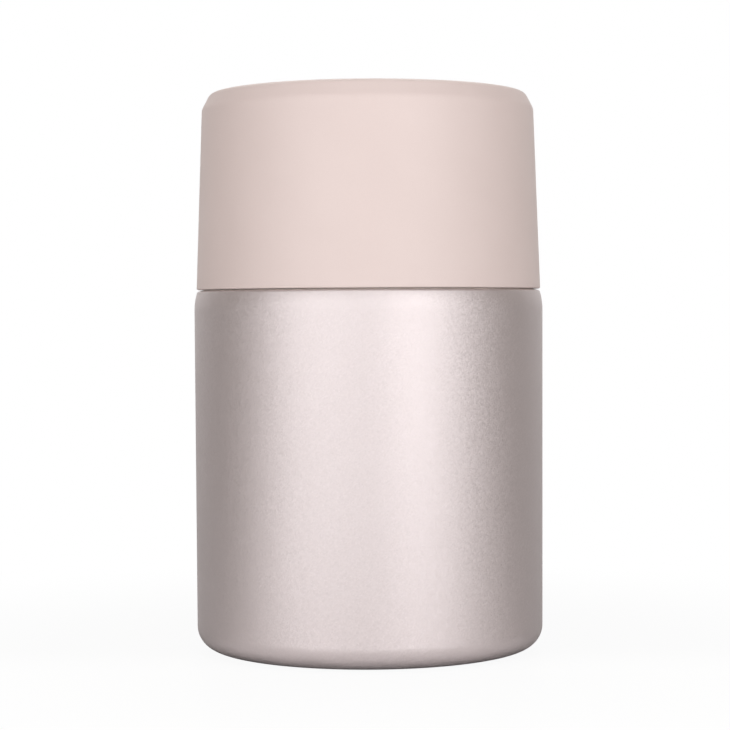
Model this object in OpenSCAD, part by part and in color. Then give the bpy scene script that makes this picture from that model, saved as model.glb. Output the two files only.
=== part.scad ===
// Insulated food jar: a double-walled steel jar with a vacuum between its walls, an insulated
// stopper that screws into the mouth and has a push-button vent, and a tall lid that screws on
// over the neck and serves as a cup.
// Millimetres, +Z up. The origin is at the centre of the foot ring, on the surface it stands on.

/* [Jar outside] */
// Diameter of the side, just under the shoulder
body_d = 90; // [84:0.5:110]
// How much narrower the side is at the foot
body_taper = 0.5; // [0:0.1:1.5]
// Height of the shoulder that the lid comes down to
shoulder_z = 92.2; // [84:0.1:130]
// Sheet thickness of the outer shell
shell_wall = 0.5; // [0.4:0.05:0.8]
// Radius of the rounded foot
foot_r = 5.9; // [4:0.1:8]
// Radius of the shoulder's edge
shoulder_r = 1; // [0.9:0.1:1.4]
// Radius of the soft curve that draws the side in to the shoulder's edge
shoulder_blend_r = 17; // [12:1:30]
// Height over which the side draws in
shoulder_blend_h = 5; // [3:0.5:7]

/* [Neck and mouth] */
// Width of the shoulder, from the body's side in to the neck
shoulder_w = 7; // [6.7:0.1:9]
// Height of the mouth above the shoulder
neck_h = 22; // [20:0.5:24]
// Radius of the inside corner between shoulder and neck
neck_fillet = 0.6; // [0.3:0.1:0.8]
// Gap between the two walls inside the neck
neck_gap = 1.4; // [1:0.1:2]
// Radius of the mouth's inner edge
lip_r = 1.2; // [0.9:0.1:1.4]
// Radius of the mouth's outer edge
lip_edge_r = 0.3; // [0.1:0.05:0.34]

/* [Inner liner] */
// Sheet thickness of the liner
liner_wall = 0.4; // [0.35:0.05:0.6]
// Vacuum gap between the two side walls
vacuum_gap = 4.2; // [3:0.1:5]
// Vacuum gap between the base plate and the liner's floor
floor_gap = 5.5; // [4.5:0.1:9]
// Radius between the liner's floor and side
liner_corner_r = 8; // [5:0.5:12]
// Height above the shoulder at which the straight wall of the mouth begins
throat_rise = 1.5; // [0:0.1:2]
// Steepest slope of the bend from the side in to the mouth, in degrees
throat_slope = 50; // [40:1:60]
// Thickness of the reflecting foil in the vacuum
foil_t = 0.15; // [0.1:0.05:0.3]

/* [Base] */
// Width of the flat ring that the jar stands on
foot_ring_w = 1.6; // [1:0.1:3]
// Radius of the bend between the foot ring and the recess in the base
base_bend_r = 1.2; // [0.9:0.1:2]
// Height of the recess in the base
base_recess = 4; // [3.4:0.1:6]
// Sheet thickness of the welded base plate
base_plate_t = 0.6; // [0.4:0.05:0.8]
// Diameter of the pressed dimple round the evacuation hole
dimple_d = 12; // [10:0.5:16]
// Height of the dimple
dimple_h = 1.2; // [0.8:0.1:1.6]
// Width of the dimple's sloped flank
dimple_flank_w = 2.4; // [1:0.1:4]
// Diameter of the evacuation hole
vent_hole_d = 2; // [1.5:0.1:2.6]
// Diameter of the sealing bead in the dimple
bead_d = 5; // [4:0.1:7]
// Sheet thickness of the cover disc under the base
base_cap_t = 0.5; // [0.3:0.05:0.6]
// Height of the cover disc's rim
base_cap_rim = 0.8; // [0.7:0.05:1.2]
// How far the cover disc lies above the foot ring
base_cap_inset = 0.8; // [0.5:0.1:1.1]
// Diameters of the two rings pressed into the cover disc
cap_ring_d = 38; // [30:1:44]
cap_outer_ring_d = 60; // [48:1:62]
// Diameter of the getter pellet
getter_d = 8; // [6:0.5:10]
// Height of the getter pellet
getter_h = 1.6; // [1:0.1:2]
// Distance of the getter from the base plate's edge
getter_offset = 16; // [13:0.5:19]
// Length of the getter bracket's welding tab
getter_tab_l = 12; // [11:0.5:14]
// Width of the getter bracket's welding tab
getter_tab_w = 4; // [3:0.5:6]

/* [Threads] */
// Rise of both threads in one turn
thread_lead = 6; // [5.5:0.1:6.4]
// Turns of thread in engagement
thread_turns = 1.25; // [1:0.05:1.4]
// Height of a thread ridge
ridge_h = 1.1; // [0.9:0.05:1.2]
// Width of a thread ridge at its root
ridge_w = 2.4; // [2.1:0.1:2.6]
// Width of a thread ridge at its crest
ridge_crest_w = 1.2; // [0.8:0.1:1.4]
// Radial clearance between a crest and the facing wall
thread_gap = 0.4; // [0.35:0.05:0.5]
// Clearance between the flanks that carry the load
thread_play = 0.3; // [0.2:0.05:0.5]
// Height of the neck thread's start above the shoulder
lid_thread_z = 6.8; // [6.6:0.1:8]

/* [Stopper] */
// Depth of the stopper below the mouth
stopper_depth = 25; // [23:0.5:30]
// Wall thickness of the stopper's cup
stopper_wall = 1.8; // [1.4:0.1:2.4]
// Radius of the stopper's lower edge
stopper_foot_r = 1.8; // [1:0.1:3]
// Thickness of the stopper's flange
flange_t = 1.8; // [1.4:0.1:2.2]
// How far the flange stays inside the neck's outer face
flange_inset = 0.2; // [0.1:0.05:0.4]
// Thickness of the stopper's gasket
gasket_t = 2; // [1.5:0.1:2.4]
// Thickness of the stopper's cover
cover_t = 2; // [1.6:0.1:2.4]
// Radius of the cover's edges
cover_edge_r = 0.9; // [0.4:0.1:1.2]
// Height of the ring under the cover that centres it in the cup
spigot_h = 3; // [2:0.1:4]
// Diameter of the finger grip on the cover
grip_d = 42; // [36:0.5:50]
// Number of finger flutes round the grip
flute_count = 16; // [10:1:20]
// Radius of a finger flute
flute_r = 2.4; // [1.8:0.1:2.6]
// Depth of a finger flute
flute_depth = 0.8; // [0.4:0.1:1]

/* [Vent] */
// Diameter of the vent button
button_d = 14; // [12.5:0.5:17]
// How far the button stands above the grip
button_proud = 1.4; // [1:0.1:2]
// Travel of the button
button_travel = 2; // [1:0.1:2.4]
// Thickness of the button's top
button_top_t = 1.8; // [1.2:0.1:2]
// Thickness of the button's skirt and boss
button_wall = 0.9; // [0.7:0.05:1]
// Depth of the button's well in the grip
button_well = 7.2; // [6.8:0.1:7.6]
// Diameter of the valve stem
stem_d = 4; // [3:0.1:4.4]
// Wall thickness of the stem's guide bush
bush_wall = 0.9; // [0.6:0.05:1.2]
// Length of the stem's guide bush
bush_h = 12; // [8:0.5:18]
// Diameter of the valve's head
valve_d = 10; // [9:0.5:14]
// Thickness of the valve's head
valve_t = 1.4; // [1:0.1:2]
// Thickness of the valve's seal
valve_seal_t = 1.3; // [1:0.1:2]
// Wire diameter of the vent spring
wire_d = 0.7; // [0.5:0.05:0.8]
// Turns of the vent spring, with its two closed ends
spring_turns = 5; // [4:0.5:5.5]

/* [Lid] */
// Seam between the lid's lower edge and the shoulder
seam = 0.4; // [0.3:0.05:0.8]
// Height of the lid
lid_h = 50.4; // [48:0.1:60]
// How far the lid's lower edge lies inside the body's side
lid_step = 0.6; // [0.4:0.05:1]
// How much the lid's side draws in towards the top
lid_draft = 1.6; // [0.8:0.1:2]
// Height of the sloped edge round the top
lid_chamfer_h = 4.2; // [3:0.1:6]
// Width of the sloped edge round the top
lid_chamfer_w = 2.2; // [1.5:0.1:4]
// Radius that softens the sloped edge at the side and at the top
lid_bend_r = 1.2; // [0.6:0.1:1.6]
// Radius of the lid's lower edge
lid_edge_r = 0.4; // [0.2:0.05:0.6]
// Wall thickness of the lid's outer shell
lid_wall = 1.8; // [1.6:0.05:2]
// Thickness of the outer shell's top
lid_top_wall = 2.2; // [1.6:0.1:3]
// Wall thickness of the lid's inner cup
cup_wall = 1.6; // [1.3:0.05:1.7]
// Inside radius between the cup's wall and floor
cup_corner_r = 5; // [3:0.5:8]
// Height of the insulating disc in the lid
lid_foam_h = 5.6; // [3:0.1:7]
// Depth of the rebate that the cup's flange sits in
rebate = 0.5; // [0.3:0.05:0.6]
// Thickness of the seal under the lid's cup
lid_seal_t = 1.5; // [1:0.1:2]
// Width of the seal under the lid's cup
lid_seal_w = 3; // [2.6:0.1:3.3]
// Width of the tongue that holds the seal in the cup's groove
tongue_w = 0.8; // [0.5:0.1:0.9]
// Depth of the cup's groove
groove_h = 0.8; // [0.6:0.05:0.9]
// Free height between the vent button and the lid's ceiling
headroom = 2; // [1.2:0.1:4]

/* [Clearances] */
// Between pieces that are fixed to each other
fit_gap = 0.05; // [0.03:0.01:0.1]
// Under and over the soft rings
seal_gap = 0.1; // [0.05:0.05:0.15]
// Between loose or turning pieces
free_gap = 0.3; // [0.25:0.05:0.4]
// Between the valve stem and its bush, on each side
running_gap = 0.08; // [0.05:0.01:0.1]

/* [Hidden] */

PAINTED_PINK = [0.82, 0.74, 0.73];
LID_PINK = [0.92, 0.84, 0.80];
CUP_WHITE = [0.93, 0.91, 0.89];
STEEL = [0.76, 0.76, 0.77];
COPPER = [0.83, 0.55, 0.40];
GREY_PLASTIC = [0.62, 0.60, 0.60];
FOAM = [0.96, 0.95, 0.90];
SILICONE = [0.86, 0.84, 0.82];

fine = 96; // facets of a turned piece on screen; it is a true circle when built
arc_steps = 8; // straight steps in an arc of an outline
ridge_steps = 48; // rings of a thread ridge in one turn
fade_steps = 5; // rings over which a thread ridge rises out of the wall
spring_steps = 16; // rings of the spring's wire in one turn
wire_sides = 6; // sides of the spring's wire
nib = 0.01; // overlap that keeps a cut clear of the face it starts from

// Outside of the jar
body_r = body_d / 2;
base_r = body_r - body_taper / 2;
neck_r = body_r - shoulder_w;
mouth_z = shoulder_z + neck_h;
shoulder_a = asin((shoulder_blend_h - shoulder_r) / (shoulder_blend_r - shoulder_r));
shoulder_edge_r = body_r - shoulder_blend_r + (shoulder_blend_r - shoulder_r) * cos(shoulder_a);

// Base
recess_r = base_r - foot_r - foot_ring_w - base_bend_r;
plate_r = recess_r - fit_gap;
getter_x = plate_r - getter_offset;
dimple_under_z = base_recess - base_plate_t + dimple_h;
cap_rim_z = base_cap_inset + base_cap_rim;

// Inner liner
mouth_r = neck_r - shell_wall - neck_gap - liner_wall;
liner_r = base_r - shell_wall - vacuum_gap - liner_wall;
floor_z = base_recess + floor_gap + liner_wall;
throat_z = shoulder_z + throat_rise;
throat_bend_r = (liner_r - mouth_r) / 2 / (1 - cos(throat_slope));
throat_h = 2 * throat_bend_r * sin(throat_slope);

// Threads: the moving ridge lies under the fixed one, with thread_play between their flanks
ridge_slope = (ridge_w - ridge_crest_w) / 2 / ridge_h;
thread_shift = ridge_w - ridge_slope * (ridge_h + thread_gap) + thread_play;
thread_rise = thread_lead * thread_turns;
ridge_sink = 0.6 * min(shell_wall, liner_wall);
neck_thread_z = shoulder_z + lid_thread_z;
mouth_thread_z = throat_z + thread_shift + ridge_w;

// Lid
lid_z = shoulder_z + seam;
lid_top_z = lid_z + lid_h;
lid_r = body_r - lid_step;
lid_upper_r = lid_r - lid_draft;
lid_face_r = lid_upper_r - lid_chamfer_w;
chamfer_z = lid_top_z - lid_chamfer_h;
chamfer_a = atan(lid_chamfer_h / lid_chamfer_w);
rebate_r = lid_r - lid_wall + rebate;
cup_z = shoulder_z + lid_seal_t + 2 * seal_gap;
cup_r = neck_r + ridge_h + thread_gap;
cup_upper_r = cup_r - lid_draft;
cup_flange_z = cup_z + cup_wall;
cup_straight_z = neck_thread_z + thread_rise + ridge_w;
cup_roof_z = lid_top_z - lid_top_wall - lid_foam_h;
ceiling_z = cup_roof_z - cup_wall;
tongue_mid_r = cup_r + lid_seal_w / 2;

// Stopper
plug_r = mouth_r - ridge_h - thread_gap;
plug_z = mouth_z - stopper_depth;
plug_in_r = plug_r - stopper_wall;
plug_floor_z = plug_z + stopper_wall;
gasket_z = mouth_z + seal_gap;
flange_z = gasket_z + gasket_t + seal_gap;
flange_r = neck_r - flange_inset;
cover_z = flange_z + flange_t;
cover_top_z = cover_z + cover_t;
spigot_z = cover_z - spigot_h;
grip_r = grip_d / 2;
grip_top_z = ceiling_z - headroom - button_proud;

// Vent
stem_r = stem_d / 2;
stem_fit_r = stem_r + fit_gap;
bush_r = stem_r + running_gap;
chimney_r = bush_r + bush_wall + fit_gap;
chimney_out_r = chimney_r + stopper_wall;
button_r = button_d / 2;
well_r = button_r + free_gap;
well_z = grip_top_z - button_well;
button_top_z = grip_top_z + button_proud;
button_roof_z = button_top_z - button_top_t;
button_z = well_z + button_travel + free_gap;
valve_seal_z = plug_z - seal_gap - valve_seal_t;
valve_z = valve_seal_z - valve_t;

// Points of an arc about c, from angle a0 to angle a1
function arc(c, r, a0, a1) = [for (i = [0:arc_steps])
    let (a = a0 + (a1 - a0) * i / arc_steps) c + r * [cos(a), sin(a)]];

function reversed(list) = [for (i = [len(list) - 1:-1:0]) list[i]];

// A piece turned about the axis from its half outline
module turned(outline) rotate_extrude($fn = fine) polygon(outline);

// A turned piece between two lines that run the same way
module turned_sheet(line_a, line_b) turned(concat(line_a, reversed(line_b)));

// A plain ring
module ring(r_in, r_out, z, h)
    turned([[r_in, z], [r_out, z], [r_out, z + h], [r_in, z + h]]);

// A closed solid through a row of rings that have the same number of points
module swept(rings) {
    sides = len(rings[0]);
    last = sides * (len(rings) - 1);
    polyhedron(
        points = [for (row = rings) each row],
        faces = concat(
            [for (k = [1:sides - 2]) [0, k + 1, k]],
            [for (i = [0:len(rings) - 2], k = [0:sides - 1])
                let (a = i * sides + k, b = i * sides + (k + 1) % sides)
                each [[a, b, b + sides], [a, b + sides, a + sides]]],
            [for (k = [1:sides - 2]) [last, last + k, last + k + 1]]));
}

// One right-handed thread ridge that fades into the wall at both ends. out is 1 for a ridge
// that stands outwards on a wall of radius wall_r, and -1 for one that stands inwards.
module thread_ridge(wall_r, z, out) {
    count = ceil(thread_turns * ridge_steps);
    root = [wall_r - out * ridge_sink, ridge_w / 2 + ridge_slope * ridge_sink];
    swept([for (i = [0:count])
        let (
            a = 360 * thread_turns * i / count,
            mid_z = z + thread_rise * i / count,
            fade = min(1, i / fade_steps, (count - i) / fade_steps),
            crest_h = ridge_h * fade - ridge_sink / 2 * (1 - fade),
            crest = [wall_r + out * crest_h, ridge_crest_w / 2],
            inner = out > 0 ? root : crest,
            outer = out > 0 ? crest : root)
        [for (corner = [[inner, -1], [outer, -1], [outer, 1], [inner, 1]])
            let (r = corner[0][0], half = corner[0][1])
            [r * cos(a), r * sin(a), mid_z + corner[1] * half]]]);
}

// ---- Jar ----

// The outer shell's outline at a depth under its outer face, from the recess in the base,
// round the foot, up the side, over the shoulder and up the neck
function shell_line(depth) = concat(
    [[recess_r + depth, base_recess]],
    arc([recess_r + base_bend_r, base_bend_r], base_bend_r - depth, 180, 270),
    arc([base_r - foot_r, foot_r], foot_r - depth, 270, 360),
    arc([body_r - shoulder_blend_r, shoulder_z - shoulder_blend_h],
        shoulder_blend_r - depth, 0, shoulder_a),
    arc([shoulder_edge_r, shoulder_z - shoulder_r], shoulder_r - depth, shoulder_a, 90),
    arc([neck_r + neck_fillet, shoulder_z + neck_fillet], neck_fillet + depth, 270, 180),
    [[neck_r - depth, mouth_z - liner_wall]]);

// Drawn steel shell with a rolled thread on its neck
module outer_shell() color(PAINTED_PINK) {
    turned_sheet(shell_line(0), shell_line(shell_wall));
    thread_ridge(neck_r, neck_thread_z, 1);
}

// The liner's outline at a depth behind its inner face, from the centre of the floor up to
// the mouth's rounded edge
function liner_line(depth) = concat(
    [[0, floor_z - depth]],
    arc([liner_r - liner_corner_r, floor_z + liner_corner_r], liner_corner_r + depth, 270, 360),
    arc([liner_r - throat_bend_r, throat_z - throat_h], throat_bend_r + depth, 0, throat_slope),
    arc([mouth_r + throat_bend_r, throat_z], throat_bend_r - depth, 180 + throat_slope, 180),
    arc([mouth_r + lip_r, mouth_z - lip_r], lip_r - depth, 180, 90));

// Steel liner that holds the food; its lip folds out over the shell's neck and is welded to it
module inner_liner() color(STEEL) {
    turned_sheet(
        concat(liner_line(0),
            arc([neck_r - lip_edge_r, mouth_z - lip_edge_r], lip_edge_r, 90, 0),
            [[neck_r, mouth_z - liner_wall]]),
        liner_line(liner_wall));
    thread_ridge(mouth_r, mouth_thread_z, -1);
}

// The base plate's outline at a depth under its upper face, from the evacuation hole out to
// the flange, which ends on the cover disc's rim
function plate_line(depth) = [
    [vent_hole_d / 2, base_recess + dimple_h - depth],
    [dimple_d / 2, base_recess + dimple_h - depth],
    [dimple_d / 2 + dimple_flank_w, base_recess - depth],
    [plate_r - depth, base_recess - depth],
    [plate_r - depth, cap_rim_z + fit_gap]];

// Pressed plate welded into the recess; it closes the vacuum from below
module base_plate() color(STEEL)
    turned_sheet(plate_line(0), plate_line(base_plate_t));

// Bead that seals the evacuation hole
module vacuum_plug() color(GREY_PLASTIC) {
    hole_r = vent_hole_d / 2;
    neck_top_z = dimple_under_z + base_plate_t;
    turned([[0, dimple_under_z - hole_r], [bead_d / 4, dimple_under_z - hole_r],
        [bead_d / 2, dimple_under_z], [hole_r - fit_gap, dimple_under_z],
        [hole_r - fit_gap, neck_top_z], [0, neck_top_z]]);
}

// Cover disc glued into the recess; two pressed rings stiffen it
module base_cap() color(STEEL) {
    rim_r = plate_r - 2 * fit_gap;
    inner_z = base_cap_inset + base_cap_t;
    press_h = base_cap_t / 2;
    press_w = 2 * base_cap_t;
    difference() {
        turned([[0, base_cap_inset], [rim_r - base_cap_t, base_cap_inset], [rim_r, inner_z],
            [rim_r, cap_rim_z], [rim_r - base_cap_t, cap_rim_z], [rim_r - base_cap_t, inner_z],
            [0, inner_z]]);
        for (d = [cap_ring_d, cap_outer_ring_d])
            ring(d / 2 - press_w, d / 2, base_cap_inset - nib, press_h + nib);
    }
}

// Foil wrapped round the liner inside the vacuum
module reflector_foil() color(COPPER) {
    foil_r = liner_r + liner_wall + fit_gap;
    low_z = floor_z + liner_corner_r;
    ring(foil_r, foil_r + foil_t, low_z, throat_z - throat_h - low_z);
}

// Foil disc under the liner's floor
module reflector_disc() color(COPPER)
    ring(0, liner_r - liner_corner_r, floor_z - liner_wall - foil_t, foil_t);

// Shallow dish with a welding tab, spot-welded to the base plate
module getter_bracket() color(STEEL) {
    dish_r = getter_d / 2 + free_gap + foil_t;
    translate([getter_x, 0, base_recess]) {
        difference() {
            cylinder(r = dish_r, h = getter_h, $fn = fine);
            translate([0, 0, foil_t]) cylinder(r = dish_r - foil_t, h = getter_h, $fn = fine);
        }
        translate([-getter_tab_l / 2, -getter_tab_w / 2, 0])
            cube([getter_tab_l, getter_tab_w, foil_t]);
    }
}

// Getter pellet that keeps the vacuum
module getter_pellet() color(GREY_PLASTIC)
    translate([getter_x, 0, base_recess + foil_t])
        cylinder(d = getter_d, h = getter_h, $fn = fine);

// ---- Stopper ----

// Moulded cup with the stopper's thread, a flange over the mouth and a chimney for the vent
module stopper_cup() color(GREY_PLASTIC) {
    turned(concat(
        [[chimney_r, plug_z]],
        arc([plug_r - stopper_foot_r, plug_z + stopper_foot_r], stopper_foot_r, 270, 360),
        [[plug_r, flange_z], [flange_r, flange_z], [flange_r, cover_z], [plug_in_r, cover_z],
            [plug_in_r, plug_floor_z], [chimney_out_r, plug_floor_z],
            [chimney_out_r, spigot_z], [chimney_r, spigot_z]]));
    thread_ridge(plug_r, mouth_thread_z - thread_shift, 1);
}

// Insulating foam that fills the cup
module stopper_insulation() color(FOAM)
    ring(chimney_out_r + free_gap, plug_in_r - free_gap, plug_floor_z,
        spigot_z - free_gap - plug_floor_z);

// Moulded cover with a fluted finger grip and a well for the vent button
module stopper_cover() color(GREY_PLASTIC) {
    guide_r = stem_r + free_gap;
    spigot_r = plug_in_r - fit_gap;
    grip_in_r = grip_r - stopper_wall;
    well_out_r = well_r + stopper_wall;
    roof_z = grip_top_z - stopper_wall;
    well_edge_r = cover_edge_r / 2;
    difference() {
        turned(concat(
            [[guide_r, well_z - stopper_wall], [well_out_r, well_z - stopper_wall],
                [well_out_r, roof_z], [grip_in_r, roof_z], [grip_in_r, cover_z],
                [spigot_r - stopper_wall, cover_z], [spigot_r - stopper_wall, spigot_z],
                [spigot_r, spigot_z], [spigot_r, cover_z], [flange_r, cover_z]],
            arc([flange_r - cover_edge_r, cover_top_z - cover_edge_r], cover_edge_r, 0, 90),
            arc([grip_r + cover_edge_r, cover_top_z + cover_edge_r], cover_edge_r, 270, 180),
            arc([grip_r - cover_edge_r, grip_top_z - cover_edge_r], cover_edge_r, 0, 90),
            arc([well_r + well_edge_r, grip_top_z - well_edge_r], well_edge_r, 90, 180),
            [[well_r, well_z], [guide_r, well_z]]));
        for (i = [0:flute_count - 1])
            rotate(360 * i / flute_count)
                translate([grip_r + flute_r - flute_depth, 0, cover_top_z + cover_edge_r])
                    cylinder(r = flute_r, h = grip_top_z - cover_top_z, $fn = fine);
    }
}

// Guide bush of the stem, pressed into the cup's chimney
module vent_bush() color(SILICONE)
    ring(bush_r, chimney_r - fit_gap, plug_z, bush_h);

// Gasket between the mouth's lip and the stopper's flange
module stopper_gasket() color(SILICONE)
    ring(plug_r + free_gap, flange_r, gasket_z, gasket_t);

// ---- Vent ----

// Valve stem with its head under the stopper; its upper end snaps into the button
module vent_stem() color(STEEL) {
    valve_r = valve_d / 2;
    turned([[0, valve_z], [valve_r - valve_t / 2, valve_z], [valve_r, valve_z + valve_t / 2],
        [valve_r, valve_seal_z], [stem_r, valve_seal_z],
        [stem_r, button_roof_z - fit_gap], [0, button_roof_z - fit_gap]]);
}

// Soft washer on the valve's head
module vent_seal() color(SILICONE)
    ring(stem_fit_r, valve_d / 2, valve_seal_z, valve_seal_t);

// Push button with a skirt that runs in the well and a boss that grips the stem
module vent_button() color(CUP_WHITE) {
    boss_r = stem_fit_r + button_wall;
    skirt_r = button_r - button_wall;
    turned(concat(
        [[0, button_roof_z], [stem_fit_r, button_roof_z], [stem_fit_r, button_z],
            [boss_r, button_z], [boss_r, button_roof_z], [skirt_r, button_roof_z],
            [skirt_r, button_z], [button_r, button_z]],
        arc([button_r - button_wall, button_top_z - button_wall], button_wall, 0, 90),
        [[0, button_top_z]]));
}

// Coil spring with closed ends that lifts the button
module vent_spring() color(STEEL) {
    wire_r = wire_d / 2;
    coil_r = (stem_fit_r + button_r) / 2;
    count = ceil(spring_turns * spring_steps);
    low_z = well_z + wire_r + fit_gap;
    high_z = button_roof_z - wire_r - fit_gap;
    end_rise = wire_d + fit_gap;
    open_rise = high_z - low_z - 2 * end_rise;
    swept([for (i = [0:count])
        let (
            turn = spring_turns * i / count,
            ends = min(turn, 1) + max(turn - (spring_turns - 1), 0),
            open = max(min(turn - 1, spring_turns - 2), 0) / (spring_turns - 2),
            z = low_z + end_rise * ends + open_rise * open)
        [for (k = [0:wire_sides - 1])
            let (b = 360 * k / wire_sides, r = coil_r + wire_r * cos(b))
            [r * cos(360 * turn), r * sin(360 * turn), z + wire_r * sin(b)]]]);
}

// ---- Lid ----

// The lid shell's outer outline, from its lower edge up the side and over the sloped edge
function lid_line() = concat(
    arc([lid_r - lid_edge_r, lid_z + lid_edge_r], lid_edge_r, 270, 360),
    arc([lid_upper_r - lid_bend_r, chamfer_z - lid_bend_r * tan((90 - chamfer_a) / 2)],
        lid_bend_r, 0, 90 - chamfer_a),
    arc([lid_face_r - lid_bend_r * tan(chamfer_a / 2), lid_top_z - lid_bend_r],
        lid_bend_r, 90 - chamfer_a, 90),
    [[0, lid_top_z]]);

// Moulded outer shell of the lid
module lid_shell() color(LID_PINK) {
    under_z = lid_top_z - lid_top_wall;
    knee = [lid_upper_r - lid_wall, chamfer_z - lid_wall * tan((90 - chamfer_a) / 2)];
    turned(concat(
        lid_line(),
        [[0, under_z], [knee[0] - (under_z - knee[1]) / tan(chamfer_a), under_z], knee,
            [lid_r - lid_wall, cup_flange_z], [rebate_r, cup_flange_z], [rebate_r, lid_z]]));
}

// Threaded inner cup of the lid, with a flange welded into the shell's rebate and a groove
// for the seal
module lid_liner() color(CUP_WHITE) {
    groove_half = tongue_w / 2 + free_gap;
    corner = [cup_upper_r - cup_corner_r, ceiling_z - cup_corner_r];
    turned(concat(
        [[cup_r, cup_z], [tongue_mid_r - groove_half, cup_z],
            [tongue_mid_r - groove_half, cup_z + groove_h],
            [tongue_mid_r + groove_half, cup_z + groove_h],
            [tongue_mid_r + groove_half, cup_z], [rebate_r - fit_gap, cup_z],
            [rebate_r - fit_gap, cup_flange_z], [cup_r + cup_wall, cup_flange_z],
            [cup_r + cup_wall, cup_straight_z]],
        arc(corner, cup_corner_r + cup_wall, 0, 90),
        [[0, cup_roof_z], [0, ceiling_z]],
        arc(corner, cup_corner_r, 90, 0),
        [[cup_r, cup_straight_z]]));
    thread_ridge(cup_r, neck_thread_z - thread_shift, -1);
}

// Insulating disc between the cup and the shell's top
module lid_insulation() color(FOAM)
    ring(0, cup_upper_r - cup_corner_r, cup_roof_z, lid_foam_h - fit_gap);

// Soft ring that the lid presses on the shoulder, with a tongue in the cup's groove
module lid_seal() color(SILICONE) {
    seal_z = shoulder_z + seal_gap;
    top_z = seal_z + lid_seal_t;
    tongue_z = cup_z + groove_h - free_gap;
    turned([[cup_r, seal_z], [cup_r + lid_seal_w, seal_z], [cup_r + lid_seal_w, top_z],
        [tongue_mid_r + tongue_w / 2, top_z], [tongue_mid_r + tongue_w / 2, tongue_z],
        [tongue_mid_r - tongue_w / 2, tongue_z], [tongue_mid_r - tongue_w / 2, top_z],
        [cup_r, top_z]]);
}

outer_shell();
inner_liner();
base_plate();
base_cap();
reflector_foil();
reflector_disc();
getter_bracket();
getter_pellet();
vacuum_plug();
stopper_cup();
stopper_cover();
stopper_insulation();
vent_bush();
stopper_gasket();
vent_button();
vent_stem();
vent_seal();
vent_spring();
lid_shell();
lid_liner();
lid_insulation();
lid_seal();
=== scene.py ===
import math
from functools import partial

import bmesh
import bpy
from mathutils import Matrix, Vector


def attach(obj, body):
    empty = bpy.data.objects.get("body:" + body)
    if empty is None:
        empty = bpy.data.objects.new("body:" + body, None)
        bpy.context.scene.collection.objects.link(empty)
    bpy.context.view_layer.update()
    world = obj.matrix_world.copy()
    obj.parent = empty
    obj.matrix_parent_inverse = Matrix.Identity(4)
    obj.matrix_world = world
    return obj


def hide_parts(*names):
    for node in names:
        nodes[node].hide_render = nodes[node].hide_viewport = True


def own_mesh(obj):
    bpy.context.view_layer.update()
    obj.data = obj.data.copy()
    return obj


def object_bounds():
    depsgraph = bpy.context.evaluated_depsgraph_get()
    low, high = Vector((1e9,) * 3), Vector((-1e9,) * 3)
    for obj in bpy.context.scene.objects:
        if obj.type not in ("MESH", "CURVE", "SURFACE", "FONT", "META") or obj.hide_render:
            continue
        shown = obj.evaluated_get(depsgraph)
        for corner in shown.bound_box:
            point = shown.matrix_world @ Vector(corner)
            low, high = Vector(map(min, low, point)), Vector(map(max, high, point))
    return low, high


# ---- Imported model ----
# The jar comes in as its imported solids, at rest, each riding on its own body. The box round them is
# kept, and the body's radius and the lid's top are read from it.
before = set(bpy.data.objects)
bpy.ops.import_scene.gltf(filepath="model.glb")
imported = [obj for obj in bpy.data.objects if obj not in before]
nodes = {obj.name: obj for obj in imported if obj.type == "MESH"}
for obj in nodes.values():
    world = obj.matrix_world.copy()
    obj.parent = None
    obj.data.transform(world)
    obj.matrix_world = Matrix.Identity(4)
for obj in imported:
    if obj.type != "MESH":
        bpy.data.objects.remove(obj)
cad_box = [list(corner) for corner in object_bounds()]
scene = bpy.context.scene
scene.view_settings.view_transform = "Standard"


# ---- Camera ----
# A long lens a little over half a metre in front of the jar, above the middle of its height. It
# looks down by a little under a degree and a half and leans by a fraction of a degree.
camera_place = (-0.00097, -0.5702, 0.0868)
look_down, lean = math.radians(1.388), -0.0051
camera = bpy.data.objects.new("camera", bpy.data.cameras.new("camera"))
scene.collection.objects.link(camera)
scene.camera = camera
camera.data.sensor_width = 36
camera.data.lens = 108.35
camera.matrix_world = (
    Matrix.Translation(camera_place)
    @ Matrix.Rotation(math.pi / 2 - look_down, 4, "X")
    @ Matrix.Rotation(lean, 4, "Z")
)


# ---- Studio ----
# A dim, warm room with a white backdrop that gives light back from behind the jar. A large soft box
# stands on either side of the camera, with a strip light before the right one. Two smaller soft boxes
# hang overhead, before and behind the jar.
def put(tree, kind, inputs=None, **settings):
    """Adds a node of that kind, makes its settings, and links or fills its inputs."""
    node = tree.nodes.new(kind)
    for name, value in settings.items():
        setattr(node, name, value)
    for name, value in (inputs or {}).items():
        if isinstance(value, bpy.types.NodeSocket):
            tree.links.new(value, node.inputs[name])
        else:
            node.inputs[name].default_value = value
    return node


def calc(tree, operation, *values):
    """The outcome of a Math node."""
    return put(tree, "ShaderNodeMath", dict(enumerate(values)), operation=operation).outputs[0]


def between(tree, amount, low, high, start=0.0, end=1.0, soft=False):
    """A number from low to high as amount goes from start to end. A soft one sets off and lands
    gently."""
    return put(tree, "ShaderNodeMapRange", {
        "Value": amount, "From Min": start, "From Max": end, "To Min": low, "To Max": high,
    }, interpolation_type="SMOOTHSTEP" if soft else "LINEAR").outputs[0]


def place(tree):
    """Where on the piece a point is, in metres."""
    return put(tree, "ShaderNodeTexCoord").outputs["Object"]


def tint(tree, amount, dark, pale):
    """A colour from dark to pale as amount goes from 0 to 1."""
    shades = {0: amount, 6: (*dark, 1), 7: (*pale, 1)}
    return put(tree, "ShaderNodeMix", shades, data_type="RGBA").outputs[2]


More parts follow.
